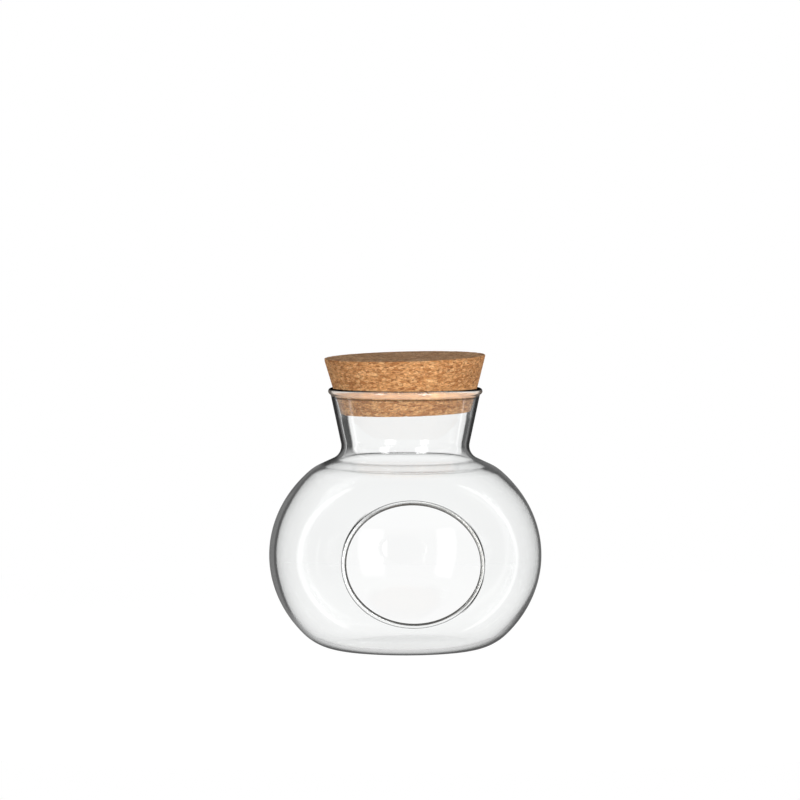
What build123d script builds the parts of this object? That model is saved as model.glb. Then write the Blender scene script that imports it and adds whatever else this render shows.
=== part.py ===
from build123d import *
import os
from math import acos, asin, atan, cos, degrees, hypot, pi, radians, sin, sqrt, tan

# A squat round glass jar with an oval opening in its front wall and a tapered cork stopper.
# Millimetres, +Z up, front towards -Y, origin at the middle of the flat base.

# Glass: overall sizes
jar_height = 172.6
body_radius = 90.0
body_half_height = 78.2
body_centre_height = 62.1
wall = 3.0
base_wall = 3.2

# Glass: shoulder, neck and lip
shoulder_rise = 25.0  # degrees above level, towards the neck
shoulder_bend = 12.85  # degrees, where the round body turns into that slope
mouth_radius = 48.35  # inside, at the rim
neck_top_wall = 2.0
neck_lean = 12.0  # degrees from upright, opening upwards
lip_bead_radius = 2.15
lip_overhang = 1.2

# Glass: rounded corners
base_round = 36.0
base_inner_round = 33.0
shoulder_round = 30.0
neck_root_round = 9.0
lip_root_round = 2.0
rim_round = 0.6
round_share = 0.45  # the most that one corner's arc takes of the straight stretch beside it

# Opening in the front wall
opening_half_width = 43.2
opening_half_height = 38.2
opening_rise = 0.2  # its centre, above the height where the body is widest
opening_turn = 3.9  # degrees round the jar, from the front towards +X
opening_roll = 4.0  # degrees, the +X end lower
opening_edge_share = 0.42  # of the wall, rounded off on each side of it

# Cork stopper
stopper_height = 36.8
stopper_depth = 15.8  # how far it goes into the mouth
stopper_lean = 15.5  # degrees from upright, shared by the stopper and its seat in the neck
stopper_clearance = 0.65
stopper_edge_round = 0.8
stopper_tilt = 1.8  # degrees, as it sits a little crooked
stopper_high_side = 37.0  # degrees from +X towards +Y

# How far each cut runs past the surface that it cuts
overrun = 5.0

os.makedirs("parts", exist_ok=True)


def ellipse_height(radius, half_width, half_height):
    """Height above the base of the upper half of one of the body's ellipses, at this radius."""
    return body_centre_height + half_height * sqrt(1 - (radius / half_width) ** 2)


def ellipse_radius(height, half_width, half_height):
    """Radius of one of the body's ellipses at this height above the base."""
    return half_width * sqrt(1 - ((height - body_centre_height) / half_height) ** 2)


def lines_meet(first, first_rise, second, second_rise):
    """Where two straight outlines cross, each given by a point and its rise in degrees."""
    first_slope, second_slope = tan(radians(first_rise)), tan(radians(second_rise))
    gap = second[1] - first[1] + first_slope * first[0] - second_slope * second[0]
    radius = gap / (first_slope - second_slope)
    return radius, first[1] + first_slope * (radius - first[0])


def corner_round(wanted, bend, stretch):
    """A corner's radius as wanted, or less where the straight stretch beside it is short."""
    length = hypot(stretch[1][0] - stretch[0][0], stretch[1][1] - stretch[0][1])
    return min(wanted, round_share * length / tan(radians(bend) / 2))


def ring_near(edges, height):
    """The level round edge nearest to this height."""
    rings = edges.filter_by(GeomType.CIRCLE).filter_by(lambda edge: edge.is_closed)
    return rings.sort_by(lambda edge: abs(edge.center().Z - height))[0]


def body_arc(half_width, half_height, low_height, high_radius):
    """The bulging stretch of the body's outline, from a height near the base to the shoulder."""
    low = degrees(asin((low_height - body_centre_height) / half_height))
    high = degrees(acos(high_radius / half_width))
    centre = (0, body_centre_height)
    return EllipticalCenterArc(centre, half_width, half_height, low, arc_size=high - low)


# Outer outline: where the shoulder leaves the body and where the neck meets the shoulder
upright = degrees(pi / 2)
lip_height = jar_height - lip_bead_radius
neck_rise = upright - neck_lean
seat_rise = upright - stopper_lean
neck_bend = upright + neck_lean - shoulder_rise
lip_inner_radius = mouth_radius - lip_bead_radius * tan(radians(stopper_lean))
neck_top = (lip_inner_radius + neck_top_wall, lip_height)
lip_centre = (neck_top[0] + lip_overhang - lip_bead_radius, lip_height)
body_slope = tan(radians(shoulder_rise + shoulder_bend))
shoulder_radius = body_radius * sin(atan(body_slope * body_radius / body_half_height))
shoulder = (shoulder_radius, ellipse_height(shoulder_radius, body_radius, body_half_height))
neck_root = lines_meet(shoulder, -shoulder_rise, neck_top, neck_rise)
shoulder_arc = corner_round(shoulder_round, shoulder_bend, (shoulder, neck_root))
root_arc = corner_round(neck_root_round, neck_bend, (shoulder, neck_root))
base_edge = ellipse_radius(0, body_radius, body_half_height)

# Inner outline: the same stretches, one wall further in, and the seat for the stopper
inner_radius = body_radius - wall
inner_half_height = body_half_height - wall
inner_shoulder_radius = shoulder_radius - wall * sin(radians(shoulder_rise))
inner_shoulder = (
    inner_shoulder_radius,
    ellipse_height(inner_shoulder_radius, inner_radius, inner_half_height),
)
inner_neck = (
    neck_top[0] - wall * cos(radians(neck_lean)),
    lip_height + wall * sin(radians(neck_lean)),
)
inner_root = lines_meet(inner_shoulder, -shoulder_rise, inner_neck, neck_rise)
inner_stretch = (inner_shoulder, inner_root)
inner_shoulder_arc = corner_round(shoulder_round - wall, shoulder_bend, inner_stretch)
inner_root_arc = corner_round(neck_root_round + wall, neck_bend, inner_stretch)
mouth = (mouth_radius, jar_height)
seat_foot = lines_meet(inner_neck, neck_rise, mouth, seat_rise)
seat_top = (mouth_radius + overrun * tan(radians(stopper_lean)), jar_height + overrun)
inner_base_edge = ellipse_radius(base_wall, inner_radius, inner_half_height)

# Opening: a plane facing out of the front wall, and where its oval meets the inner wall's sides
facing = radians(opening_turn)
opening_plane = Plane(
    origin=(0, 0, body_centre_height + opening_rise),
    x_dir=(cos(facing), sin(facing), 0),
    z_dir=(sin(facing), -cos(facing), 0),
)
opening_depth = sqrt(inner_radius**2 - opening_half_width**2)
opening_splay = opening_half_width / opening_depth  # square to the curved wall at its sides

# Glass jar
with BuildPart() as glass_jar:
    with BuildSketch(Plane.XZ):
        with BuildLine():
            body_arc(body_radius, body_half_height, 0, shoulder_radius)
            Polyline(shoulder, neck_root, neck_top, (0, lip_height), (0, 0), (base_edge, 0))
        make_face()
        with Locations(lip_centre):
            Circle(lip_bead_radius)
        with BuildLine():
            body_arc(inner_radius, inner_half_height, base_wall, inner_shoulder_radius)
            Polyline(
                inner_shoulder,
                inner_root,
                seat_foot,
                seat_top,
                (0, seat_top[1]),
                (0, base_wall),
                (inner_base_edge, base_wall),
            )
        make_face(mode=Mode.SUBTRACT)
    revolve(axis=Axis.Z)

    # Round the corners of the outside, then those of the inside, then the lip's
    fillet(ring_near(glass_jar.edges(), 0), base_round)
    fillet(ring_near(glass_jar.edges(), shoulder[1]), shoulder_arc)
    fillet(ring_near(glass_jar.edges(), neck_root[1]), root_arc)
    fillet(ring_near(glass_jar.edges(), base_wall), base_inner_round)
    fillet(ring_near(glass_jar.edges(), inner_shoulder[1]), inner_shoulder_arc)
    fillet(ring_near(glass_jar.edges(), inner_root[1]), inner_root_arc)
    fillet(ring_near(glass_jar.edges(), lip_height - lip_bead_radius), lip_root_round)
    fillet(ring_near(glass_jar.edges(), jar_height), rim_round)

    # Cut the opening, widening outwards, and round its melted edge on both sides of the wall
    for distance in (opening_depth - overrun, body_radius + overrun):
        widening = (distance - opening_depth) * opening_splay
        with BuildSketch(opening_plane.offset(distance)):
            Ellipse(
                opening_half_width + widening,
                opening_half_height + widening,
                rotation=-opening_roll,
            )
    loft(ruled=True, mode=Mode.SUBTRACT)
    opening_edges = glass_jar.edges(Select.LAST).filter_by(GeomType.LINE, reverse=True)
    fillet(opening_edges, wall * opening_edge_share)
glass_jar.part.label = "glass_jar"
export_step(glass_jar.part, "parts/glass_jar.step")

# Stopper: its own leaning frame, halfway down the seat, moved over so that the gap stays even
tilt, high_side = radians(stopper_tilt), radians(stopper_high_side)
seat_middle = jar_height - stopper_depth / 2
stopper_spread = tan(radians(stopper_lean))
stopper_rim_radius = mouth_radius - stopper_clearance
stopper_move = stopper_rim_radius * tan(tilt) * stopper_spread
stopper_frame = Plane(
    origin=(stopper_move * cos(high_side), stopper_move * sin(high_side), seat_middle),
    x_dir=(cos(tilt) * cos(high_side), cos(tilt) * sin(high_side), sin(tilt)),
    z_dir=(-sin(tilt) * cos(high_side), -sin(tilt) * sin(high_side), cos(tilt)),
)

# Cork stopper
with BuildPart(stopper_frame.offset(-stopper_depth / 2)) as cork_stopper:
    Cone(
        bottom_radius=stopper_rim_radius - stopper_depth * stopper_spread,
        top_radius=stopper_rim_radius + (stopper_height - stopper_depth) * stopper_spread,
        height=stopper_height,
        align=(Align.CENTER, Align.CENTER, Align.MIN),
    )
    fillet(cork_stopper.edges().filter_by(GeomType.CIRCLE), stopper_edge_round)
cork_stopper.part.label = "cork_stopper"
export_step(cork_stopper.part, "parts/cork_stopper.step")
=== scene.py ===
import math

import bpy
import numpy as np
from mathutils import Matrix, Vector, noise


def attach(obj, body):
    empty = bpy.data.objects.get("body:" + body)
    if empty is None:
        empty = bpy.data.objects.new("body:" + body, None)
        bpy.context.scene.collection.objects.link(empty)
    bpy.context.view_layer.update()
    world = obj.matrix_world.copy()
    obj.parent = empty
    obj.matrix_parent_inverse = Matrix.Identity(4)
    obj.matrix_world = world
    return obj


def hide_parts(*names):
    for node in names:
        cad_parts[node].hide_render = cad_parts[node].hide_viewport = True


# The looks of a round glass jar with an opening in its front wall and a cork stopper.
# The scene is in metres, in the model's frame. The jar's and stopper's sizes are in millimetres.

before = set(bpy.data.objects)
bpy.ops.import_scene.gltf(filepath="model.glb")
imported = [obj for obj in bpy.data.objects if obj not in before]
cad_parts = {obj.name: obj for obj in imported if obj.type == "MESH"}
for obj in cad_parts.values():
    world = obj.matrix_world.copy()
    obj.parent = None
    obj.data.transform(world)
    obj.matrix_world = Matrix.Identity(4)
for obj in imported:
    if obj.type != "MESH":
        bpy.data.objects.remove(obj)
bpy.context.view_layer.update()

MM = 0.001

# Camera, as the photograph was taken: pixels of its 800 by 800 frame, and metres in the room
frame_pixels = 800
middle_pixel = (405.3, 554.7)  # where the middle of the jar's body lies
focal_pixels = 4500
metre_per_pixel = 0.0006613  # at the jar's axis
look_down = math.radians(5.0)  # at that middle
sensor_mm = 36.0
clip_near, clip_far = 0.1, 50

# Glass, as the solid has it
jar_height = 172.6
body_radius = 90.0
body_half_height = 78.2
body_centre_height = 62.1
wall = 3.0
base_wall = 3.2
shoulder_radius = 60.0
shoulder_rise = math.radians(25)
mouth_radius = 48.35
neck_top_wall = 2.0
neck_lean = math.radians(12)
seat_lean = math.radians(15.5)
lip_bead_radius = 2.15
lip_overhang = 1.2
base_round, base_inner_round = 36.0, 33.0
shoulder_round = 30.0
neck_root_round = 9.0
lip_root_round = 2.0
rim_round = 0.6

# Glass, in the looks alone: a round below the stopper's seat, and an uneven wall
seat_foot_round = 40.0
neck_foot = jar_height - 50  # the height where the bore opens into the body
uneven = 1.2  # how far the inner surface lies to one side in the body
uneven_rise, uneven_fall = 42.0, 26.0  # heights over which that grows and ends again

# The opening and its melted rim, which is a little thicker than the wall
opening_half_width = 43.2
opening_half_height = 38.2
opening_height = 62.3
opening_turn = math.radians(3.9)
opening_roll = math.radians(-4.0)
rim_radius = 1.6
rim_root_round = 2.0
rim_extra_width = 0.15

# Stopper, as the solid has it
stopper_height = 36.8
stopper_depth = 15.8
stopper_clearance = 0.65
stopper_edge_round = 0.8
stopper_tilt = math.radians(1.8)
stopper_high_side = math.radians(37)
stopper_rim = mouth_radius - stopper_clearance
stopper_spread = math.tan(seat_lean)

# The glass mesh: columns round the jar, and the window of the grid that holds the opening
columns = 288
window_half_columns = 29
window_rows = 48
window_low, window_high = 18.0, 110.5
patch_rings, patch_crowd = 10, 1.6  # between the window's edge and the rim

# Steps along the outline: the body's, the same inside and outside, then those over the neck
floor_steps, base_steps, low_steps, high_steps, shoulder_steps = 5, 14, 3, 6, 8
slope_steps, root_steps, neck_steps, lip_foot_steps, bead_steps, rim_steps = 6, 26, 18, 9, 30, 7
seat_steps, seat_foot_steps, bore_steps, inner_root_steps = 10, 3, 10, 28
neck_crowd = 2.0  # towards the lip
hollow_steps, crown_steps, nose_steps = 6, 5, 16  # of the opening's rim, on each side and over

# Searches for where surfaces meet: angles round the body's ellipse, and reaches in millimetres
base_search, shoulder_search = (-1.4, -0.4), (0.5, 1.2)
search_points = 4001
search_reach, search_halvings = 4.0, 40
angle_step = 1e-4

# Painted shade in fine dark lines round the turned glass: strengths, and reaches up and down
lip_foot, lip_least_radius = jar_height - 5.9, mouth_radius - 2.0
lip_strength, lip_reach = 0.6, 0.6
mouth_strength, mouth_reach = 0.9, 0.85
mouth_side_strength, mouth_side_reach = 0.6, 1.05  # more at the jar's sides
side_from, side_over = 0.4, 0.45  # of the sine of the angle round the jar
neck_strength, neck_reach, neck_most_radius = 0.3, 0.9, 50
neck_back_strength, neck_back_reach = 0.3, 1.0  # more at the back, in radians round the jar

# Painted glow on the rolled lip's outer side, standing in for the light it gathers
lip_glow_height, lip_glow_reach, lip_glow_power = jar_height - 3.1, 2.4, 0.3

# Painted dark lines and painted glow on the opening's rim, counted in rings from its outer foot
flank_line = 0.85
flank_weights = (0.8, 1, 1, 1, 1, 1, 1, 0.5, 0, 0, 0, 0)
nose_line, nose_line_reach = 0.8, 4
nose_glow, nose_glow_reach = 0.35, 6
outer_line, outer_gain = 0.6, 1.2  # the outer flank's line, all round the opening
outer_stretches = ((0.55, 0.42, 0.52), (0.55, 2.68, 0.5), (0.55, -0.42, 0.52))  # share, angle, reach
wide_from, wide_over = 0.7, 0.4  # where that line is so dark that it is one ring wider
crest_glow, crest_rings = ((0.9, 0.4, 1.5),), 5.5  # share, angle and reach, and rings each way

# The cork's mesh, and the dents in it: noise for each millimetre, and depths
cork_columns = 400
foot_steps, side_steps, head_steps, low_edge_steps, high_edge_steps = 30, 84, 70, 5, 6
flatten = 2.0  # the dents are this much wider than tall
rough_scale, rough_depth = 0.9, 0.10
grain_scale, grain_depth, grain_place = 2.3, 0.06, Vector((40, 0, 0))
pit_scale, pit_from, pit_depth, pit_place = 0.55, 0.28, 0.9, Vector((0, 70, 0))
chip_scale, chip_from, chip_depth, chip_place = 0.35, 0.05, 1.5, Vector((0, 0, 90))
worn_reach, worn_depth = 2.0, 0.25  # round the top edge

# World and floor: white where the camera looks at them, straight or through the glass
white = (1.0, 1.0, 1.0, 1.0)
fill_level = 0.22  # what lights the object from all round
front_level = 0.22  # what the glass mirrors off its near side
edge_level = 0.2  # what it mirrors inside its wall, as at its edges
under_level = 0.78  # the same, straight below
under_fade = (math.radians(-8), math.radians(-32))
over_fade, over_share = (math.radians(15), math.radians(45)), 0.5  # the same level, above
back_level = 0.55  # what it mirrors off its far side
through_level = 0.82  # what its thick bottom mirrors on through the back
through_fade = (-0.2, 0.2)  # of the direction's part towards the back
once, entered, crossed = 0.5, 0.5, 3.5  # thresholds for how often a ray turned or passed

# Soft lights that the glass mirrors: azimuth range, elevation range, both in degrees, and level.
# Azimuth 0 is the camera's side, positive to its right.
mirrored_boxes = (
    (-49, -27, -24, 34, 5.0),
    (16, 43, -24, 34, 5.0),
    (-20, -16, -8, 22, 1.2),
)
mirrored_strips = (
    (-107, -95, -62, 62, 2.2),
    (104, 113, -62, 62, 2.0),
    (-82, -78, -20, 20, 0.8),
)
light_edge = 8.0  # degrees over which they fade
front_box_gain = 2.2  # of the boxes, off the near side
far_strip_share = 0.25  # of the strips, off the far side

# Floor: a disc in metres, just under the jar
floor_radius, floor_drop, floor_sides = 0.6, 0.0002, 96
floor_colour = (0.8, 0.8, 0.8, 1)  # as matt surfaces see it
seen_colour, seen_glow = (0.25, 0.25, 0.25, 1), 0.888  # as the camera sees it, white where lit

# Lamps: azimuth and elevation in degrees, then distance, width and height in metres, and watts
lamps = (
    ("left_softbox", -32, 8, 1.3, 0.50, 0.95, 6.1),
    ("right_softbox", 30, 8, 1.3, 0.60, 0.95, 11.3),
    ("back_left", -150, 25, 1.6, 0.5, 0.8, 2),
    ("back_right", 150, 25, 1.6, 0.5, 0.8, 2),
)
lamp_aim = Vector((0, 0, 0.1))

# Glass shader: places in metres, and facing from 0, seen square on, to 1, seen edge on
# The glass's own tint, then the dark colour of the shade painted towards its edges
glass_tint, edge_shade = (0.995, 1.0, 0.998, 1), (0.014, 0.016, 0.015, 1)
lamp_tint = (0.98, 0.985, 0.982, 1)  # what lamps shine through
painted_black = (0.004, 0.004, 0.004, 1)  # painted black over the darkest painted lines, which the painted dark edge colour leaves grey
# Colours of the painted glow on the rims, from their own side and from behind
glow_front, glow_through = (0.10, 0.10, 0.095, 1), (0.47, 0.46, 0.44, 1)
# Where shade is painted: towards where the glass is seen edge on, in bands round the neck, along the
# wall's edge and in a short streak
neck_heights = (0.122, 0.133)  # where the body passes into the neck
edge_starts, edge_stops = (0.84, 0.64), (0.99, 0.76)  # facing, in the body and in the neck
neck_band_shift = {"From Min": -0.02, "From Max": 0.02, "To Max": 0.13}  # the neck's painted shade band comes later, on the right
band_rise, band_fall = (0.50, 0.58), (0.80, 0.86)
wall_rise, wall_fall = (0.2535, 0.2555), (0.261, 0.267)  # where the wall starts to mirror fully
wall_heights = (0.020, 0.032)
streak_left, streak_right = (-0.052, -0.058), (-0.041, -0.045)
streak_low, streak_high, streak_facing = (0.1212, 0.1228), (0.1275, 0.1290), (0.72, 0.88)
# How much painted black lies over each painted dark mark
band_black, line_black, wall_black, streak_black = 0.66, 0.8, 0.6, 0.7

# Cork shader: cells and noise for each metre, and colours as light falls on them
granule_scale, fleck_scale, speck_scale = 330.0, 900.0, 560.0
warp_scale, warp_reach = 260.0, 0.0022
patch_scale, streaks_scale, broad_scale = 420.0, 520.0, 45.0
warp_detail, streak_detail, broad_detail = 3.0, 4.0, 2.0
granule_flatten, streak_flatten = (1.0, 1.0, 2.4), (1.0, 1.0, 4.5)
granule_colours = (
    (0.0, (0.42, 0.17, 0.058)),
    (0.25, (0.56, 0.26, 0.095)),
    (0.55, (0.66, 0.335, 0.135)),
    (0.85, (0.74, 0.40, 0.175)),
    (1.0, (0.82, 0.49, 0.23)),
)
fleck_tints = ((0.0, (0.55, 0.50, 0.46)), (0.4, (0.92, 0.90, 0.88)), (1.0, (1.22, 1.22, 1.20)))
streak_tints = ((0.30, (0.62, 0.55, 0.50)), (0.5, (1.0, 1.0, 1.0)), (0.72, (1.22, 1.24, 1.26)))
broad_tints = ((0.3, (0.84, 0.82, 0.80)), (0.7, (1.1, 1.1, 1.1)))
fleck_share, seam_share, streak_share, speck_share, broad_share = 0.75, 0.75, 0.8, 0.7, 0.6
seam_colour, speck_colour = (0.22, 0.085, 0.03, 1), (0.17, 0.06, 0.022, 1)
seam_width, seam_fade, speck_fade = 0.09, (0.42, 0.62), (0.93, 0.97)
head_sheen, head_sheen_fade = (0.93, 1.07, 1.34, 1), (0.6, 0.9)  # painted sheen of the head, greyer and bluer by how far it faces up
seam_hollow, streak_hollow = 0.5, 0.8
cork_bump, cork_bump_depth = 0.5, 0.0004
cork_roughness = {"To Min": 0.7, "To Max": 0.95}


def aim_camera():
    """The camera stands where the body's middle falls on its pixel, with no shift."""
    column = middle_pixel[0] - frame_pixels / 2
    row = middle_pixel[1] - frame_pixels / 2
    pitch = look_down - math.atan(row / focal_pixels)
    ahead = Vector((0, math.cos(pitch), -math.sin(pitch)))
    above = Vector((0, math.sin(pitch), math.cos(pitch)))
    across = Vector((1, 0, 0))
    place = Vector((0, 0, body_centre_height * MM)) - ahead * focal_pixels * metre_per_pixel
    place += (above * row - across * column) * metre_per_pixel
    data = bpy.data.cameras.new("camera")
    data.sensor_width = sensor_mm
    data.lens = focal_pixels / frame_pixels * sensor_mm
    data.clip_start, data.clip_end = clip_near, clip_far
    camera = bpy.data.objects.new("camera", data)
    turn = Matrix((across, above, -ahead)).transposed().to_4x4()
    camera.matrix_world = Matrix.Translation(place) @ turn
    bpy.context.scene.collection.objects.link(camera)
    bpy.context.scene.camera = camera


def add_mesh(name, points, faces, smooth=True):
    """An object of this mesh, in the scene."""
    mesh = bpy.data.meshes.new(name)
    mesh.from_pydata(points, [], faces)
    for polygon in mesh.polygons:
        polygon.use_smooth = smooth
    made = bpy.data.objects.new(name, mesh)
    bpy.context.scene.collection.objects.link(made)
    return made


def unit(vectors):
    """Vectors along the last axis, made one long."""
    return vectors / np.linalg.norm(vectors, axis=-1, keepdims=True)


def lean_line(lean):
    """The direction of an outline that leans outwards by this angle from upright."""
    return np.array([math.sin(lean), math.cos(lean)])


def crossing(first, first_way, second, second_way):
    """Where two straight outlines cross, each given by a point and a direction."""
    along = np.linalg.solve(np.array([first_way, -second_way]).T, second - first)
    return first + along[0] * first_way


def arc(centre, radius, start, end, steps):
    """Points of an arc between two angles."""
    angles = np.linspace(start, end, steps + 1)
    return np.array(centre) + radius * np.stack([np.cos(angles), np.sin(angles)], 1)


def straight(start, end, steps, crowd=1.0):
    """Points of a straight line, closer together towards its end where crowd is over 1."""
    shares = 1 - (1 - np.linspace(0, 1, steps + 1)[:, None]) ** crowd
    return start + shares * (end - start)


def angle_from(centre, point):
    """The angle at which a point lies from a centre."""
    return math.atan2(point[1] - centre[1], point[0] - centre[0])


def corner(before, at, after, radius, steps):
    """An arc that rounds the corner between two straight stretches."""
    back, on = unit(before - at), unit(after - at)
    half = math.acos(float(back @ on)) / 2
    centre = at + unit(back + on) * radius / math.sin(half)
    reach = radius / math.tan(half)
    start, end = angle_from(centre, at + back * reach), angle_from(centre, at + on * reach)
    end += 2 * math.pi * round((start - end) / (2 * math.pi))
    return arc(centre, radius, start, end, steps)


def beside(point, way, side, reach, centre, distance):
    """The two places that far beside a line, and at that distance from a centre."""
    start = point + np.array([way[1], -way[0]]) * side * reach - centre
    along = float(start @ way)
    root = math.sqrt(along**2 - float(start @ start) + distance**2)
    return [centre + start + way * (step - along) for step in (-root, root)]


def join_pieces(pieces):
    """One run of points, without the doubled ends of its pieces."""
    points = [pieces[0]]
    for piece in pieces[1:]:
        points.append(piece[1:])
    return np.concatenate(points)


def bump_at(values, middle, reach):
    """A smooth hump, 1 at the middle and 0 beyond the reach."""
    return np.clip(1 - ((values - middle) / reach) ** 2, 0, 1) ** 2


def bowl(inset):
    """One surface of the body, that far inside the outer one: half width and half height."""
    return body_radius - inset, body_half_height - inset


def bowl_arc(inset, round_radius, point, inward, low, high):
    """Where an arc inside the bowl touches both the bowl and a straight line."""
    half_width, half_height = bowl(inset)
    angles = np.linspace(low, high, search_points)
    across, up = np.cos(angles), np.sin(angles)
    touch = np.stack([half_width * across, body_centre_height + half_height * up], 1)
    centres = touch - round_radius * unit(np.stack([across / half_width, up / half_height], 1))
    error = (centres - point) @ inward - round_radius
    nearest = int(np.argmin(np.abs(error)))
    return centres[nearest], touch[nearest]


def bowl_points(inset, low, high, steps):
    """Points of the bowl between two heights."""
    half_width, half_height = bowl(inset)
    ends = [math.asin((height - body_centre_height) / half_height) for height in (low, high)]
    angles = np.linspace(*ends, steps + 1)
    heights = body_centre_height + half_height * np.sin(angles)
    return np.stack([half_width * np.cos(angles), heights], 1)


def bowl_radius(inset, height):
    """The bowl's radius at these heights."""
    half_width, half_height = bowl(inset)
    return half_width * np.sqrt(1 - ((height - body_centre_height) / half_height) ** 2)


def window_points(inset):
    """The rows of the window that holds the opening, evenly spaced in height."""
    heights = np.linspace(window_low, window_high, window_rows + 1)
    return np.stack([bowl_radius(inset, heights), heights], 1)


def body_outline(inset, floor, floor_round, top_round):
    """The pieces of the body's outline, from the floor's middle to the shoulder's arc."""
    floor_up = np.array([0.0, 1.0])
    middle = np.array([0.0, floor])
    base_centre, base_touch = bowl_arc(inset, floor_round, middle, floor_up, *base_search)
    slope = np.array([math.cos(shoulder_rise), -math.sin(shoulder_rise)])
    inward = np.array([slope[1], -slope[0]])
    edge_radius = shoulder_radius - inset * math.sin(shoulder_rise)
    half_width, half_height = bowl(inset)
    edge_height = body_centre_height + half_height * math.sqrt(1 - (edge_radius / half_width) ** 2)
    edge = np.array([edge_radius, edge_height])
    top_centre, top_touch = bowl_arc(inset, top_round, edge, inward, *shoulder_search)
    base_end = angle_from(base_centre, base_touch)
    top_start = angle_from(top_centre, top_touch)
    pieces = [
        straight(middle, np.array([base_centre[0], floor]), floor_steps)[1:],
        arc(base_centre, floor_round, -math.pi / 2, base_end, base_steps),
        bowl_points(inset, base_touch[1], window_low, low_steps),
        window_points(inset),
        bowl_points(inset, window_high, top_touch[1], high_steps),
        arc(top_centre, top_round, top_start, math.pi / 2 - shoulder_rise, shoulder_steps),
    ]
    return pieces, edge, slope


def neck_outline(edge, inner_edge, slope):
    """The pieces of the outline over the lip: neck's foot, neck, lip, seat, bore and its foot."""
    neck_way, seat_way = lean_line(neck_lean), lean_line(seat_lean)
    lip_height = jar_height - lip_bead_radius
    lip_inner = mouth_radius - lip_bead_radius * math.tan(seat_lean)
    neck_top = np.array([lip_inner + neck_top_wall, lip_height])
    lip_centre = np.array([neck_top[0] + lip_overhang - lip_bead_radius, lip_height])
    mouth = np.array([mouth_radius, jar_height])
    root = crossing(edge, slope, neck_top, neck_way)
    outward = np.array([neck_way[1], -neck_way[0]])
    inner_neck = neck_top - wall * outward
    inner_root = crossing(inner_edge, slope, inner_neck, neck_way)
    seat_foot = crossing(inner_neck, neck_way, mouth, seat_way)

    outside, inside = lip_bead_radius + lip_root_round, lip_bead_radius - rim_round
    under = beside(neck_top, neck_way, 1, lip_root_round, lip_centre, outside)
    under_lip = min(under, key=lambda place: place[1])
    over = beside(mouth, seat_way, 1, rim_round, lip_centre, inside)
    rim_centre = max(over, key=lambda place: place[1])
    neck_side = math.pi - neck_lean
    bead_start = angle_from(lip_centre, under_lip)
    bead_end = angle_from(lip_centre, rim_centre)

    root_arc = corner(edge, root, neck_top, neck_root_round, root_steps)
    foot_arc = corner(mouth, seat_foot, inner_root, seat_foot_round, seat_foot_steps)
    bore_round = neck_root_round + wall
    inner_arc = corner(seat_foot, inner_root, inner_edge, bore_round, inner_root_steps)
    under_arc = arc(under_lip, lip_root_round, neck_side, bead_start + math.pi, lip_foot_steps)
    rim_arc = arc(rim_centre, rim_round, bead_end, math.pi - seat_lean, rim_steps)
    return [
        root_arc,
        straight(root_arc[-1], under_arc[0], neck_steps, neck_crowd),
        under_arc,
        arc(lip_centre, lip_bead_radius, bead_start, bead_end, bead_steps),
        rim_arc,
        straight(rim_arc[-1], foot_arc[0], seat_steps),
        foot_arc,
        straight(foot_arc[-1], inner_arc[0], bore_steps),
        inner_arc,
    ]


def glass_outline():
    """The outline from the underside round the lip to the floor, without their middles.

    With it come the rows where the window starts outside and inside, and the first inner row.
    """
    outer, edge, slope = body_outline(0.0, 0.0, base_round, shoulder_round)
    inner, inner_edge, _ = body_outline(wall, base_wall, base_inner_round, shoulder_round - wall)
    neck = neck_outline(edge, inner_edge, slope)
    rise = straight(outer[-1][-1], neck[0][0], slope_steps)
    fall = straight(neck[-1][-1], inner[-1][-1], slope_steps)
    down = [piece[::-1] for piece in inner[::-1]]
    below_window, outside_neck = 3, 4  # pieces of the body's outline, and of the neck's
    first_row = len(join_pieces(outer[:below_window])) - 1
    points = join_pieces(outer + [rise] + neck + [fall] + down)
    last_row = len(points) - len(join_pieces(inner[:below_window]))
    inner_from = len(join_pieces(outer + [rise] + neck[:outside_neck]))
    return points[:-1], first_row, last_row - window_rows, inner_from


def inner_shift(height):
    """How far to the side the inner surface lies at these heights."""
    rise = np.clip((height - base_wall) / uneven_rise, 0, 1)
    fall = np.clip((neck_foot - height) / uneven_fall, 0, 1)
    return uneven * (np.sin(math.pi / 2 * rise) * np.sin(math.pi / 2 * fall)) ** 2


def surface_depth(inset, across, height):
    """How far out the body's surface lies from the axis, seen square to the opening."""
    shift = inner_shift(height) if inset else 0.0
    return np.sqrt(bowl_radius(inset, height) ** 2 - (across - shift) ** 2)


def surface_normal(inset, across, depth, height):
    """The outward normal of an even bowl there, in the opening's own axes."""
    half_width, half_height = bowl(inset)
    up = (height - body_centre_height) / half_height**2
    return unit(np.stack([across / half_width**2, depth / half_width**2, up], -1))


def reach_surface(inset, points, normals):
    """How far it is from the points, along the normals, to one of the body's surfaces."""
    near, far = np.full(len(points), -search_reach), np.full(len(points), search_reach)
    for _ in range(search_halvings):
        middle = (near + far) / 2
        place = points + middle[:, None] * normals
        height = place[:, 2]
        shift = inner_shift(height) if inset else 0.0
        outside = np.hypot(place[:, 0] - shift, place[:, 1]) > bowl_radius(inset, height)
        far = np.where(outside, middle, far)
        near = np.where(outside, near, middle)
    return (near + far) / 2


def rim_line(angles):
    """Points in the middle of the wall, at these angles round the opening's oval."""
    wide = (opening_half_width + rim_radius + rim_extra_width) * np.cos(angles)
    tall = (opening_half_height + rim_radius) * np.sin(angles)
    cosine, sine = math.cos(opening_roll), math.sin(opening_roll)
    across = wide * cosine - tall * sine
    height = opening_height + wide * sine + tall * cosine
    depth = surface_depth(wall / 2, across, height)
    return np.stack([across, depth, height], -1)


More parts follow.
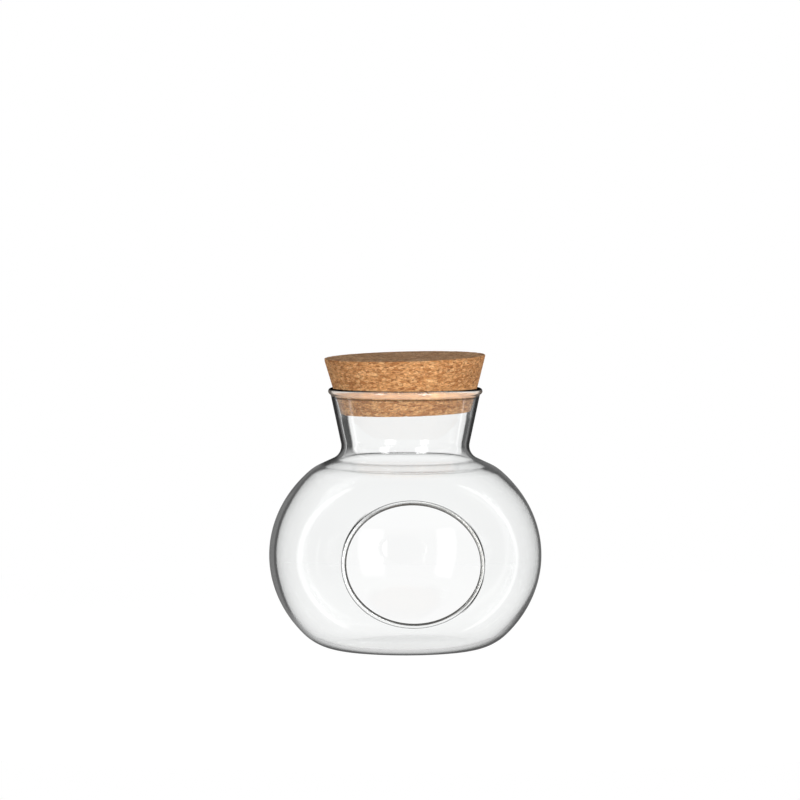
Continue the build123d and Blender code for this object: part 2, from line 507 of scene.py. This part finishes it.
def rim_section(angles):
    """The rings of the opening's melted rim: its outer flank, its nose and its inner flank."""
    half_wall = wall / 2
    middle = rim_line(angles)
    along = unit(rim_line(angles + angle_step) - rim_line(angles - angle_step))
    normals = surface_normal(half_wall, middle[:, 0], middle[:, 1], middle[:, 2])
    away = unit(np.cross(along, normals))
    outwards = middle - [0, 0, opening_height]
    away *= np.sign(np.sum(away[:, (0, 2)] * outwards[:, (0, 2)], 1))[:, None]

    # The rim's height over the wall, as an arc and then a hollow round down to the surface
    root_reach = math.sqrt((rim_radius + rim_root_round) ** 2 - (half_wall + rim_root_round) ** 2)
    crown_reach = root_reach * (rim_radius / (rim_radius + rim_root_round))

    def proud(reach):
        """How far the rim stands over the wall, at this distance from its middle."""
        if reach < crown_reach:
            return math.sqrt(rim_radius**2 - reach**2) - half_wall
        return rim_root_round - math.sqrt(rim_root_round**2 - (root_reach - reach) ** 2)

    hollow = np.linspace(root_reach, crown_reach, hollow_steps + 1)
    crown = np.linspace(crown_reach, 0, crown_steps + 1)[1:]
    flanks = []
    for inset, side in ((0.0, 1), (wall, -1)):
        rings = []
        for reach in np.concatenate([hollow, crown]):
            base = middle + reach * away
            lift = reach_surface(inset, base, normals) + side * proud(reach)
            rings.append(base + lift[:, None] * normals)
        flanks.append(rings)
    outer, inner = flanks
    top = np.sum((outer[-1] - middle) * normals, 1)[:, None]
    foot = -np.sum((inner[-1] - middle) * normals, 1)[:, None]
    nose = []
    for turn in np.linspace(0, math.pi, nose_steps + 1)[1:-1]:
        height = np.where(math.cos(turn) > 0, top, foot) * math.cos(turn)
        nose.append(middle - rim_radius * math.sin(turn) * away + height * normals)
    return outer, nose, inner[::-1]


def to_world(points):
    """From the opening's axes (across, out, up) to the model's frame, in metres."""
    cosine, sine = math.cos(opening_turn), math.sin(opening_turn)
    across, out, up = points.T
    return np.stack([across * cosine + out * sine, across * sine - out * cosine, up], 1) * MM


def ring_lines(radius, height, angle):
    """Painted shade in fine dark lines round the turned glass: below the lip, at the rim and at the
    neck's foot.
    """
    sideways = np.clip((np.abs(np.sin(angle)) - side_from) / side_over, 0, 1)
    behind = bump_at(np.abs(angle - math.pi), 0, neck_back_reach)
    lip = (radius > lip_least_radius) * lip_strength * bump_at(height, lip_foot, lip_reach)
    mouth_lines = mouth_strength + mouth_side_strength * sideways
    mouth = mouth_lines * bump_at(height, jar_height, mouth_reach + mouth_side_reach * sideways)
    neck_lines = neck_strength + neck_back_strength * behind
    foot = (radius < neck_most_radius) * neck_lines * bump_at(height, neck_foot, neck_reach)
    return lip + mouth + foot


def round_rim(angles, humps):
    """A value round the opening's oval: a hump for each share, angle and reach."""
    total = 0
    for share, angle, reach in humps:
        apart = (angles - angle + math.pi) % (2 * math.pi) - math.pi
        total = total + share * bump_at(apart, 0, reach)
    return total


def rim_looks(angles, outer_patch, nose, inner_patch):
    """How much painted shade and painted glow each ring gets, from the outer patch over the rim to the
    inner one.
    """
    flank = [flank_line * weight for weight in flank_weights]
    nose_middle = len(nose) // 2
    lines = [nose_line * bump_at(k, nose_middle, nose_line_reach) for k in range(len(nose))]
    glows = [nose_glow * bump_at(k, nose_middle, nose_glow_reach) for k in range(len(nose))]
    before, after = [0.0] * len(outer_patch), [0.0] * len(inner_patch)
    lines = before + flank + lines + flank[::-1] + after
    glows = before + [0.0] * len(flank) + glows + [0.0] * len(flank) + after

    outer = outer_line + round_rim(angles, outer_stretches)
    widened = np.clip(outer - wide_from, 0, wide_over) / wide_over
    crest = round_rim(angles, crest_glow)
    flank_start = len(before)
    flank_stop = flank_start + len(flank)
    for number, (line, glow) in enumerate(zip(lines, glows)):
        if number == flank_start - 1:
            line = widened
        elif flank_start <= number < flank_stop:
            line = line * (outer * outer_gain)
        lines[number] = np.minimum(line * np.ones(len(angles)), 1.0)
        glows[number] = glow + crest * bump_at(number, flank_stop, crest_rings)
    return lines, glows


def point_index(row, column):
    """The number of a point in the turned grid."""
    return row * columns + column % columns


def turned_faces(row_count, window_starts):
    """The faces of the turned grid, but not those in the windows that start at these rows."""
    skipped = {row for start in window_starts for row in range(start, start + window_rows)}
    inside = {column % columns for column in range(-window_half_columns, window_half_columns)}
    faces = []
    for row in range(row_count - 1):
        for column in range(columns):
            if row in skipped and column in inside:
                continue
            near, far = point_index(row, column), point_index(row, column + 1)
            faces.append((near, far, far + columns, near + columns))
    return faces


def window_loop(low_row, step):
    """The points of the window's edge on one surface, the same way round on both."""
    half = window_half_columns
    high_row = low_row + step * window_rows
    bottom = [(low_row, column) for column in range(-half, half)]
    right = [(low_row + step * k, half) for k in range(window_rows)]
    top = [(high_row, column) for column in range(half, -half, -1)]
    left = [(high_row - step * k, -half) for k in range(window_rows)]
    return np.array([point_index(*pair) for pair in bottom + right + top + left])


def loop_faces(loops):
    """The faces between each closed loop of points and the next."""
    faces = []
    for near, far in zip(loops[:-1], loops[1:]):
        for k in range(len(near)):
            after = (k + 1) % len(near)
            faces.append((near[k], near[after], far[after], far[k]))
    return faces


def middle_faces(row, middle, way):
    """The faces between a ring of the grid and a point on the axis, turned either way."""
    faces = []
    for column in range(columns):
        pair = (point_index(row, column), point_index(row, column + 1))
        faces.append((middle, *pair[::way]))
    return faces


def patch(inset, start, end, shares):
    """Rings on one of the body's surfaces between two rings, seen square to the opening."""
    rings = []
    for share in shares:
        place = start * (1 - share) + end * share
        depth = surface_depth(inset, place[:, 0], place[:, 2])
        rings.append(np.stack([place[:, 0], depth, place[:, 2]], 1))
    return rings


def oval_angles(points):
    """The angle of each point round the opening's oval."""
    wide, tall = points[:, 0], points[:, 2] - opening_height
    cosine, sine = math.cos(opening_roll), math.sin(opening_roll)
    along, up = wide * cosine + tall * sine, -wide * sine + tall * cosine
    long, short = opening_half_width + rim_radius, opening_half_height + rim_radius
    return np.arctan2(up / short, along / long)


def make_glass():
    """The jar's mesh: its outline turned round the axis, with the opening set in a window."""
    outline, first, second, inner_from = glass_outline()
    row_count = len(outline)
    ring_radius, ring_height = outline[:, 0], outline[:, 1]
    is_inner = np.arange(row_count) >= inner_from
    ring_shift = np.where(is_inner, inner_shift(ring_height), 0.0)
    angles = np.arange(columns) * 2 * math.pi / columns
    across = ring_shift[:, None] + ring_radius[:, None] * np.sin(angles)
    out = ring_radius[:, None] * np.cos(angles)
    up = np.broadcast_to(ring_height[:, None], out.shape)
    grid = np.stack([across, out, up], -1).reshape(-1, 3)
    faces = turned_faces(row_count, (first, second))

    # The rings between the window's two edges, over the opening's rim
    outer_loop = window_loop(first, 1)
    inner_loop = window_loop(second + window_rows, -1)
    edge = grid[outer_loop]
    ring_angles = oval_angles(edge)
    outer_rim, nose, inner_rim = rim_section(ring_angles)
    shares = 1 - np.linspace(1, 0, patch_rings + 1)[1:-1] ** patch_crowd
    outer_patch = patch(0.0, edge, outer_rim[0], shares)
    inner_patch = patch(wall, inner_rim[-1], grid[inner_loop], 1 - shares[::-1])
    rings = outer_patch + outer_rim + nose + inner_rim + inner_patch
    loops = [outer_loop]
    count = len(grid)
    for ring in rings:
        loops.append(np.arange(count, count + len(ring)))
        count += len(ring)
    faces += loop_faces([*loops, inner_loop])

    # The middles of the underside and of the floor
    middles = np.array([[0.0, 0.0, 0.0], [0.0, 0.0, base_wall]])
    faces += middle_faces(0, count, -1) + middle_faces(row_count - 1, count + 1, 1)
    count += len(middles)

    # Painted dark lines and painted glow for the glass's shader, and which points lie inside
    rim_lines, rim_glows = rim_looks(ring_angles, outer_patch, nose, inner_patch)
    turned_lines = ring_lines(ring_radius[:, None], ring_height[:, None], angles)
    # Painted glow along the rolled lip's outer side
    lip_glow = ~is_inner * bump_at(ring_height, lip_glow_height, lip_glow_reach) ** lip_glow_power
    rim_count = len(rings) * len(ring_angles)
    attributes = {
        "line": [turned_lines.reshape(-1), *rim_lines, np.zeros(2)],
        "painted_glow": [np.repeat(lip_glow, columns), *rim_glows, np.zeros(2)],
        "inner": [np.repeat(is_inner, columns), np.zeros(rim_count), np.array([0.0, 1.0])],
    }

    # Only the points that the faces use are kept
    used = np.unique(np.concatenate([np.array(face) for face in faces]))
    new_index = np.zeros(count, int)
    new_index[used] = np.arange(len(used))
    faces = [[int(k) for k in new_index[list(face)]] for face in faces]
    points = to_world(np.concatenate([grid, *rings, middles])[used])
    jar = add_mesh("glass_body", points.tolist(), faces)
    for name, values in attributes.items():
        layer = jar.data.attributes.new(name, "FLOAT", "POINT")
        layer.data.foreach_set("value", np.concatenate(values)[used].astype(np.float32))
    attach(jar, "jar")
    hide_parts("glass_jar")
    return jar


class Nodes:
    """A short way to write a material's or the world's nodes."""

    def __init__(self, owner):
        owner.use_nodes = True
        self.tree = owner.node_tree
        self.tree.nodes.clear()

    def add(self, kind, links=None, **values):
        """A node of this kind, with its properties set, and its sockets set or linked."""
        node = self.tree.nodes.new("ShaderNode" + kind)
        for name, value in values.items():
            setattr(node, name, value)
        for socket, value in (links or {}).items():
            if isinstance(value, bpy.types.NodeSocket):
                self.tree.links.new(value, node.inputs[socket])
            else:
                node.inputs[socket].default_value = value
        return node

    def get(self, kind, links=None, **values):
        """The first output of such a node."""
        return self.add(kind, links, **values).outputs[0]

    def math(self, operation, first, second=0.0):
        """One step of arithmetic."""
        return self.get("Math", {0: first, 1: second}, operation=operation)

    def times(self, first, *others):
        """The product of the values."""
        for value in others:
            first = self.math("MULTIPLY", first, value)
        return first

    def most(self, first, *others):
        """The largest of the values."""
        for value in others:
            first = self.math("MAXIMUM", first, value)
        return first

    def mix(self, share, first, second):
        """Between two numbers."""
        return self.get("Mix", {0: share, 2: first, 3: second}, data_type="FLOAT")

    def blend(self, kind, share, first, second):
        """Between two colours."""
        links = {0: share, 6: first, 7: second}
        return self.add("Mix", links, data_type="RGBA", blend_type=kind).outputs[2]

    def fade(self, value, low, high):
        """From 0 to 1 as the value goes from low to high, smoothly."""
        links = {"Value": value, "From Min": low, "From Max": high}
        return self.get("MapRange", links, interpolation_type="SMOOTHSTEP")

    def between(self, value, rise, fall):
        """1 between two fades, and 0 outside them."""
        return self.math("SUBTRACT", self.fade(value, *rise), self.fade(value, *fall))

    def vector(self, operation, links):
        """One step of arithmetic on vectors."""
        return self.get("VectorMath", links, operation=operation)

    def stretched(self, place, scale):
        """The places, scaled along each axis."""
        return self.get("Mapping", {"Vector": place, "Scale": scale})

    def cloudy(self, place, scale, detail):
        """Smooth noise, as a number and as a colour."""
        links = {"Vector": place, "Scale": scale, "Detail": detail}
        return self.add("TexNoise", links).outputs

    def cells(self, place, scale, feature="F1"):
        """Cells like those of pressed grains."""
        return self.add("TexVoronoi", {"Vector": place, "Scale": scale}, feature=feature).outputs

    def cell_level(self, place, scale):
        """One number for each cell, from 0 to 1."""
        return self.get("SeparateColor", {0: self.cells(place, scale)["Color"]})

    def ramp(self, value, stops):
        """A colour for each value, between stops of position and colour."""
        node = self.add("ValToRGB", {0: value})
        elements = node.color_ramp.elements
        while len(elements) < len(stops):
            elements.new(0.5)
        for element, (position, colour) in zip(elements, stops):
            element.position = position
            element.color = (*colour, 1)
        return node.outputs[0]

    def ray(self):
        """The light path, and whether a ray was mirrored or comes from a matt surface."""
        path = self.add("LightPath").outputs
        mirrored = self.math("GREATER_THAN", path["Glossy Depth"], once)
        matt = self.math("GREATER_THAN", path["Diffuse Depth"], once)
        return path, mirrored, matt


def soft_lights(nodes, azimuth, elevation, lights):
    """How bright these lights are in this direction."""
    total = 0.0
    for left, right, low, high, level in lights:
        share = level
        for value, near, far in ((azimuth, left, right), (elevation, low, high)):
            fade = min(light_edge, (far - near) / 2)
            rise = (math.radians(near), math.radians(near + fade))
            fall = (math.radians(far - fade), math.radians(far))
            share = nodes.times(share, nodes.between(value, rise, fall))
        total = nodes.math("ADD", total, share)
    return total


def mirrored_level(nodes, path):
    """What mirrored rays see, by how often they went through a surface of the glass."""
    direction = nodes.add("SeparateXYZ", {0: nodes.add("TexCoord").outputs["Generated"]}).outputs
    azimuth = nodes.math("ARCTAN2", direction[0], nodes.times(direction[1], -1.0))
    elevation = nodes.math("ARCSINE", direction[2])
    inside = nodes.math("GREATER_THAN", path["Transmission Depth"], entered)
    across = nodes.math("GREATER_THAN", path["Transmission Depth"], crossed)
    down = nodes.fade(elevation, *under_fade)
    up = nodes.times(nodes.fade(elevation, *over_fade), over_share)
    edge = nodes.mix(nodes.most(down, up), edge_level, under_level)
    near = nodes.mix(inside, front_level, edge)
    back = nodes.mix(nodes.fade(direction[1], *through_fade), back_level, through_level)
    level = nodes.mix(across, near, back)
    off_front = nodes.math("SUBTRACT", 1.0, inside)
    box_share = nodes.math("ADD", nodes.times(off_front, front_box_gain), across)
    strip_share = nodes.math("ADD", off_front, nodes.times(across, far_strip_share))
    boxes = soft_lights(nodes, azimuth, elevation, mirrored_boxes)
    strips = soft_lights(nodes, azimuth, elevation, mirrored_strips)
    lights = (nodes.times(boxes, box_share), nodes.times(strips, strip_share))
    return nodes.math("ADD", level, nodes.math("ADD", *lights))


def make_world():
    """White for the camera, a plain grey level for matt surfaces, and a studio for reflections."""
    world = bpy.data.worlds.new("studio")
    bpy.context.scene.world = world
    nodes = Nodes(world)
    path, mirrored, matt = nodes.ray()
    seen = nodes.mix(mirrored, 1.0, mirrored_level(nodes, path))
    level = nodes.mix(matt, seen, fill_level)
    backdrop = nodes.get("Background", {"Color": white, "Strength": level})
    nodes.add("OutputWorld", {"Surface": backdrop})


def make_floor():
    """A pale round floor, which mirrored rays pass, so that the glass shows one even studio."""
    angles = [k * 2 * math.pi / floor_sides for k in range(floor_sides)]
    ring = [(floor_radius * math.cos(a), floor_radius * math.sin(a), -floor_drop) for a in angles]
    floor = add_mesh("floor", ring, [tuple(range(floor_sides))], smooth=False)
    material = bpy.data.materials.new("floor")
    nodes = Nodes(material)
    _, mirrored, matt = nodes.ray()
    plain = nodes.get("BsdfDiffuse", {"Color": floor_colour})
    pale = nodes.get("BsdfDiffuse", {"Color": seen_colour})
    glow = nodes.get("Emission", {"Color": white, "Strength": seen_glow})
    seen = nodes.get("AddShader", {0: pale, 1: glow})
    passed = nodes.get("BsdfTransparent", {"Color": white})
    seen = nodes.get("MixShader", {0: mirrored, 1: seen, 2: passed})
    seen = nodes.get("MixShader", {0: matt, 1: seen, 2: plain})
    nodes.add("OutputMaterial", {"Surface": seen})
    floor.data.materials.append(material)


def make_lamp(name, azimuth, elevation, distance, width, height, power):
    """A rectangular lamp that faces the jar, and lights matt surfaces alone."""
    data = bpy.data.lights.new(name, "AREA")
    data.shape = "RECTANGLE"
    data.size, data.size_y = width, height
    data.energy = power
    lamp = bpy.data.objects.new(name, data)
    angle, rise = math.radians(azimuth), math.radians(elevation)
    level = math.cos(rise)
    away = Vector((math.sin(angle) * level, -math.cos(angle) * level, math.sin(rise)))
    lamp.location = lamp_aim + away * distance
    lamp.rotation_euler = away.to_track_quat("Z", "Y").to_euler()
    lamp.visible_glossy = lamp.visible_transmission = lamp.visible_camera = False
    bpy.context.scene.collection.objects.link(lamp)


def painted_shade_places(nodes, place, facing, line):
    """How much painted shade darkens the glass, as a dark colour and as painted black over it."""
    across, height = place[0], place[2]
    neck_low, neck_high = neck_heights
    neck = nodes.get("MapRange", {"Value": height, "From Min": neck_low, "From Max": neck_high})
    inner = nodes.add("Attribute", attribute_name="inner").outputs["Fac"]
    # Painted shade towards where the glass is seen edge on, and in bands round the neck
    start, stop = nodes.mix(neck, *edge_starts), nodes.mix(neck, *edge_stops)
    far_edge = nodes.fade(facing, start, stop)
    band_shift = nodes.get("MapRange", {"Value": across, **neck_band_shift})
    turned = nodes.math("SUBTRACT", facing, band_shift)
    band = nodes.between(turned, band_rise, band_fall)
    band = nodes.times(band, inner, neck)
    outer = nodes.math("SUBTRACT", 1.0, nodes.times(inner, neck))
    side = nodes.times(far_edge, outer)

    # Painted shade, seen from within the glass, at the edge of the wall's total reflection, above the
    # base
    within = nodes.add("NewGeometry").outputs["Backfacing"]
    edge_of_wall = nodes.between(facing, wall_rise, wall_fall)
    upper_body = nodes.math("SUBTRACT", nodes.fade(height, *wall_heights), neck)
    edge_of_wall = nodes.times(edge_of_wall, within, inner, upper_body)

    # A short streak of painted shade where the neck's foot meets the shoulder on the left
    left = nodes.between(across, streak_right, streak_left)
    streak = nodes.between(height, streak_low, streak_high)
    streak = nodes.times(streak, left, nodes.fade(facing, *streak_facing))

    painted_shade = nodes.most(band, side, line)
    neck_bands = nodes.most(band, nodes.times(side, neck))
    values = (neck_bands, line, edge_of_wall, streak)
    shares = (band_black, line_black, wall_black, streak_black)
    painted_dark = [nodes.times(value, share) for value, share in zip(values, shares)]
    return painted_shade, nodes.most(*painted_dark)


def glass_material():
    """Clear glass that lamps shine through, with painted shade where it is seen edge on and painted
    glow at the rims.
    """
    material = bpy.data.materials.new("clear_glass")
    nodes = Nodes(material)
    path = nodes.add("LightPath").outputs
    place = nodes.add("SeparateXYZ", {0: nodes.add("TexCoord").outputs["Object"]}).outputs
    facing = nodes.add("LayerWeight", {"Blend": 0.5}).outputs["Facing"]
    line = nodes.add("Attribute", attribute_name="line").outputs["Fac"]
    painted_shade, painted_dark = painted_shade_places(nodes, place, facing, line)
    # The glass's own tint, with the painted shade mixed in
    tint_and_shade = nodes.blend("MIX", painted_shade, glass_tint, edge_shade)
    glass = nodes.get(
        "BsdfPrincipled",
        {"Base Color": tint_and_shade, "Roughness": 0.0, "IOR": 1.5, "Transmission Weight": 1.0},
    )
    clear = nodes.get("BsdfTransparent", {"Color": lamp_tint})
    painted_glow = nodes.add("Attribute", attribute_name="painted_glow").outputs["Fac"]

    def glow(kind, colour):
        """Painted glow on the rims, as light they scatter from their own side or from behind."""
        shade = nodes.blend("MIX", painted_glow, (0, 0, 0, 1), colour)
        return nodes.get(kind, {"Color": shade})

    glows = {0: glow("BsdfDiffuse", glow_front), 1: glow("BsdfTranslucent", glow_through)}
    body = nodes.get("AddShader", {0: glass, 1: nodes.get("AddShader", glows)})
    # Painted black over the darkest painted lines and bands
    black = nodes.get("BsdfDiffuse", {"Color": painted_black})
    body = nodes.get("MixShader", {0: painted_dark, 1: body, 2: black})
    lamp_rays = nodes.most(path["Is Shadow Ray"], path["Is Diffuse Ray"])
    both = nodes.get("MixShader", {0: lamp_rays, 1: body, 2: clear})
    nodes.add("OutputMaterial", {"Surface": both})
    return material


def stopper_outline():
    """The plug's outline in its own leaning frame, and the corner at its top edge."""
    above = stopper_height - stopper_depth
    low = np.array([stopper_rim - stopper_depth * stopper_spread, -stopper_depth / 2])
    high = np.array([stopper_rim + above * stopper_spread, stopper_height - stopper_depth / 2])
    foot, head = np.array([0.0, low[1]]), np.array([0.0, high[1]])
    low_arc = corner(foot, low, high, stopper_edge_round, low_edge_steps)
    high_arc = corner(low, high, head, stopper_edge_round, high_edge_steps)
    pieces = [
        straight(foot, low_arc[0], foot_steps)[1:],
        low_arc,
        straight(low_arc[-1], high_arc[0], side_steps),
        high_arc,
        straight(high_arc[-1], head, head_steps)[:-1],
    ]
    return join_pieces(pieces), low, high


def cork_dent(place, worn):
    """How deep the cork's surface lies: rough all over, with pits, and chipped where it is worn."""
    rough = 0.5 + 0.5 * noise.noise(place * rough_scale)
    grain = 0.5 + 0.5 * noise.noise(place * grain_scale + grain_place)
    pit = max(0.0, noise.noise(place * pit_scale + pit_place) - pit_from)
    depth = rough_depth * rough + grain_depth * grain + pit_depth * pit
    if worn:
        chip = max(0.0, noise.noise(place * chip_scale + chip_place) - chip_from)
        depth += worn * (worn_depth * rough + chip_depth * chip)
    return depth


def seat_stopper(points):
    """From the plug's own frame to its crooked place in the neck."""
    tilt_rise, tilt_level = math.sin(stopper_tilt), math.cos(stopper_tilt)
    side = np.array([math.cos(stopper_high_side), math.sin(stopper_high_side), 0.0])
    across = np.array([-side[1], side[0], 0.0])
    ahead = side * tilt_level + [0, 0, tilt_rise]
    axis = -side * tilt_rise + [0, 0, tilt_level]
    shift = stopper_rim * math.tan(stopper_tilt) * stopper_spread
    centre = side * shift + [0, 0, jar_height - stopper_depth / 2]
    return centre + points[:, :1] * ahead + points[:, 1:2] * across + points[:, 2:] * axis


def make_cork():
    """The stopper's mesh: a tapered plug in its leaning frame, pitted and chipped inwards only."""
    rows, low, high = stopper_outline()
    ways = np.gradient(rows, axis=0)
    normals = unit(np.stack([ways[:, 1], -ways[:, 0]], 1))
    wear = np.maximum(0.0, 1 - np.linalg.norm(rows - high, axis=1) / worn_reach)
    points = []
    for row, normal, worn in zip(rows, normals, wear):
        for angle in np.arange(cork_columns) * 2 * math.pi / cork_columns:
            cosine, sine = math.cos(angle), math.sin(angle)
            place = Vector((row[0] * cosine, row[0] * sine, row[1] * flatten))
            radius, height = row - normal * cork_dent(place, worn)
            points.append((radius * cosine, radius * sine, height))
    count = len(points)
    points += [(0, 0, low[1]), (0, 0, high[1])]

    faces = []
    for start in range(0, count - cork_columns, cork_columns):
        for near in range(start, start + cork_columns):
            far = start + (near + 1 - start) % cork_columns
            faces.append((near, far, far + cork_columns, near + cork_columns))
    last = count - cork_columns
    for near in range(cork_columns):
        far = (near + 1) % cork_columns
        faces.append((count, far, near))
        faces.append((count + 1, last + near, last + far))
    plug = add_mesh("cork_plug", (seat_stopper(np.array(points)) * MM).tolist(), faces)
    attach(plug, "stopper")
    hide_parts("cork_stopper")
    return plug


def cork_colour(nodes, flat, bent, seams, streaks):
    """The cork's colour: granules with finer flecks, dark seams, streaks and a few dark specks, under
    a painted sheen where it faces up.
    """
    granules = nodes.ramp(nodes.cell_level(bent, granule_scale), granule_colours)
    flecks = nodes.ramp(nodes.cell_level(bent, fleck_scale), fleck_tints)
    colour = nodes.blend("MULTIPLY", fleck_share, granules, flecks)

    patchy = nodes.fade(nodes.cloudy(flat, patch_scale, broad_detail)[0], *seam_fade)
    dark_seams = nodes.times(nodes.math("SUBTRACT", 1.0, seams), patchy)
    dark_seams = nodes.times(dark_seams, seam_share)
    colour = nodes.blend("MIX", dark_seams, colour, seam_colour)

    colour = nodes.blend("MULTIPLY", streak_share, colour, nodes.ramp(streaks, streak_tints))
    specks = nodes.fade(nodes.cell_level(bent, speck_scale), *speck_fade)
    specks = nodes.times(specks, speck_share)
    colour = nodes.blend("MIX", specks, colour, speck_colour)
    broad = nodes.cloudy(flat, broad_scale, broad_detail)[0]
    colour = nodes.blend("MULTIPLY", broad_share, colour, nodes.ramp(broad, broad_tints))
    # Painted sheen: greyer and bluer where the cork faces up
    upward = nodes.add("SeparateXYZ", {0: nodes.add("NewGeometry").outputs["Normal"]}).outputs[2]
    return nodes.blend("MULTIPLY", nodes.fade(upward, *head_sheen_fade), colour, head_sheen)


def cork_material():
    """Pressed cork granules: flattened grains in tans and browns, with dark specks and pits."""
    material = bpy.data.materials.new("cork")
    nodes = Nodes(material)
    place = nodes.add("TexCoord").outputs["Object"]

    # The granules' edges wander a little, as they were pressed together
    flat = nodes.stretched(place, granule_flatten)
    warp = nodes.cloudy(flat, warp_scale, warp_detail)["Color"]
    warp = nodes.vector("SUBTRACT", {0: warp, 1: (0.5, 0.5, 0.5)})
    warp = nodes.vector("SCALE", {0: warp, "Scale": warp_reach})
    bent = nodes.vector("ADD", {0: flat, 1: warp})

    distance = nodes.cells(bent, granule_scale, "DISTANCE_TO_EDGE")["Distance"]
    seams = nodes.get("MapRange", {"Value": distance, "From Max": seam_width})
    streaks = nodes.cloudy(nodes.stretched(place, streak_flatten), streaks_scale, streak_detail)[0]
    colour = cork_colour(nodes, flat, bent, seams, streaks)

    seam_height = nodes.times(seams, seam_hollow)
    streak_height = nodes.times(streaks, streak_hollow)
    relief = nodes.math("ADD", seam_height, streak_height)
    bump = {"Height": relief, "Strength": cork_bump, "Distance": cork_bump_depth}
    bumpy = nodes.get("Bump", bump)
    rough = nodes.get("MapRange", {"Value": streaks, **cork_roughness})
    shader = nodes.get(
        "BsdfPrincipled",
        {"Base Color": colour, "Roughness": rough, "Specular IOR Level": 0.5, "Normal": bumpy},
    )
    nodes.add("OutputMaterial", {"Surface": shader})
    return material


aim_camera()
make_world()
make_floor()
for lamp in lamps:
    make_lamp(*lamp)

glass = make_glass()
glass.data.materials.append(glass_material())
cork = make_cork()
cork.data.materials.append(cork_material())

scene = bpy.context.scene
scene.view_settings.view_transform = "Standard"
